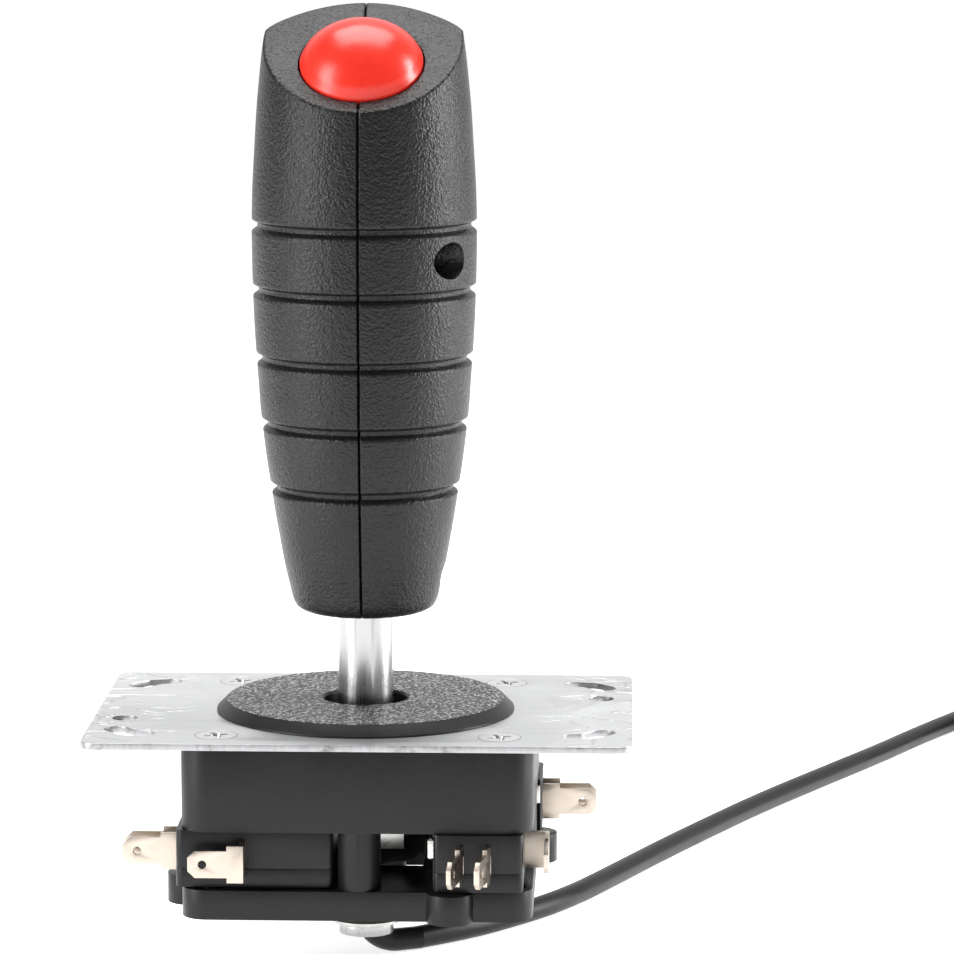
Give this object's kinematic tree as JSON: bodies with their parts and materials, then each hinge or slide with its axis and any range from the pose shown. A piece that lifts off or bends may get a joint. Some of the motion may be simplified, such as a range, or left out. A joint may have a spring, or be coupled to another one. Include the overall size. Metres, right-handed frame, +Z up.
{
  "type": "panel mount joystick",
  "caption": "Eight-way switch joystick for panel mounting, with a ribbed two-half flight grip, a domed thumb button and a lead through its hollow shaft.",
  "frame": {"origin": "centre of the mounting plate's top face", "axes": "+Z up along the upright shaft, out of the panel; front of the grip, where the thumb facet faces, is -Y; the plate is long along X"},
  "size_m": [0.234, 0.2825, 0.1738],
  "materials": {
    "zinc_steel": "satin",
    "disc_plastic": "textured",
    "screw_steel": "satin",
    "housing_black": "satin",
    "base_black": "satin",
    "switch_black": "satin",
    "tab_nickel": "satin",
    "blade_copper": "satin",
    "lever_steel": "satin",
    "plunger_red": "satin",
    "nylon_white": "satin",
    "pin_steel": "satin",
    "shaft_steel": "satin",
    "spring_steel": "satin",
    "nylon_black": "satin",
    "black_steel": "satin",
    "grip_black": "textured",
    "button_red": "gloss",
    "wire_pvc": "satin",
    "lead_pvc": "satin"
  },
  "bodies": {
    "base": {"mounting_plate": "zinc_steel", "dust_disc": "disc_plastic", "plate_screws": "screw_steel", "upper_housing": "housing_black", "base_plate": "base_black", "base_screws": "screw_steel", "switch_cases": "switch_black", "switch_covers": "switch_black", "switch_terminals": "tab_nickel", "snap_blades": "blade_copper", "spring_seat": "nylon_white", "lead_exit": "lead_pvc", "lead": "lead_pvc", "lead_coil": "lead_pvc", "lead_tie": "nylon_black", "lead_sleeve": "lead_pvc", "lead_wires": "wire_pvc", "spade_connectors": "tab_nickel"},
    "gimbal": {"pivot_ball": "nylon_white"},
    "stick": {"pivot_pins": "pin_steel", "shaft": "shaft_steel", "centring_spring": "spring_steel", "actuator": "nylon_black", "end_washer": "black_steel", "e_clip": "pin_steel", "grip_left": "grip_black", "grip_right": "grip_black", "grip_screws": "black_steel", "clamp_screw": "black_steel", "button_spring": "spring_steel", "grip_switch": "switch_black", "grip_switch_tabs": "tab_nickel", "grip_wires": "wire_pvc", "lead_inner": "lead_pvc"},
    "thumb_button": {"fire_button": "button_red"},
    "grip_plunger": {"grip_switch_plunger": "plunger_red"},
    "arm_front": {"lever_front": "lever_steel"},
    "pin_front": {"plunger_front": "plunger_red"},
    "arm_right": {"lever_right": "lever_steel"},
    "pin_right": {"plunger_right": "plunger_red"},
    "arm_back": {"lever_back": "lever_steel"},
    "pin_back": {"plunger_back": "plunger_red"},
    "arm_left": {"lever_left": "lever_steel"},
    "pin_left": {"plunger_left": "plunger_red"}
  },
  "joints": [
    {"name": "tilt_x", "type": "hinge", "parent": "base", "child": "gimbal", "pos_m": [0, 0, -0.008], "axis": [1, 0, 0], "range_deg": [-7.5, 7.5], "stiffness_Nm_per_rad": 3, "deforming": ["centring_spring", "lead_exit"]},
    {"name": "tilt_y", "type": "hinge", "parent": "gimbal", "child": "stick", "pos_m": [0, 0, -0.008], "axis": [0, 1, 0], "range_deg": [-7.5, 7.5], "stiffness_Nm_per_rad": 3, "deforming": ["centring_spring", "lead_exit"]},
    {"name": "button_press", "type": "slide", "parent": "stick", "child": "thumb_button", "axis": [0, -0.5621, 0.8271], "range_m": [-0.002, 0], "stiffness_N_per_m": 400, "springref_m": 0.0005, "deforming": ["button_spring"]},
    {"name": "grip_plunger_press", "type": "slide", "parent": "stick", "child": "grip_plunger", "axis": [0, -0.5621, 0.8271], "range_m": [-0.002, 0]},
    {"name": "lever_front_swing", "type": "hinge", "parent": "base", "child": "arm_front", "pos_m": [-0.031, -0.01315, -0.02125], "axis": [0, 0, 1], "range_deg": [-2.8, 2.8]},
    {"name": "plunger_front_press", "type": "slide", "parent": "base", "child": "pin_front", "axis": [0, 1, 0], "range_m": [-0.001, 0.001]},
    {"name": "lever_right_swing", "type": "hinge", "parent": "base", "child": "arm_right", "pos_m": [0.01315, -0.031, -0.02125], "axis": [0, 0, 1], "range_deg": [-2.8, 2.8]},
    {"name": "plunger_right_press", "type": "slide", "parent": "base", "child": "pin_right", "axis": [-1, 0, 0], "range_m": [-0.001, 0.001]},
    {"name": "lever_back_swing", "type": "hinge", "parent": "base", "child": "arm_back", "pos_m": [0.031, 0.01315, -0.02125], "axis": [0, 0, 1], "range_deg": [-2.8, 2.8]},
    {"name": "plunger_back_press", "type": "slide", "parent": "base", "child": "pin_back", "axis": [0, -1, 0], "range_m": [-0.001, 0.001]},
    {"name": "lever_left_swing", "type": "hinge", "parent": "base", "child": "arm_left", "pos_m": [-0.01315, 0.031, -0.02125], "axis": [0, 0, 1], "range_deg": [-2.8, 2.8]},
    {"name": "plunger_left_press", "type": "slide", "parent": "base", "child": "pin_left", "axis": [1, 0, 0], "range_m": [-0.001, 0.001]}
  ],
  "couplings": [
    {"joint": "grip_plunger_press", "follows": "button_press", "ratio": 1},
    {"joint": "lever_front_swing", "follows": "tilt_x", "ratio": 0.36667},
    {"joint": "plunger_front_press", "follows": "tilt_x", "m_per_rad": 0.007448},
    {"joint": "lever_right_swing", "follows": "tilt_y", "ratio": 0.36667},
    {"joint": "plunger_right_press", "follows": "tilt_y", "m_per_rad": 0.007448},
    {"joint": "lever_back_swing", "follows": "tilt_x", "ratio": -0.36667},
    {"joint": "plunger_back_press", "follows": "tilt_x", "m_per_rad": -0.007448},
    {"joint": "lever_left_swing", "follows": "tilt_y", "ratio": -0.36667},
    {"joint": "plunger_left_press", "follows": "tilt_y", "m_per_rad": -0.007448}
  ]
}
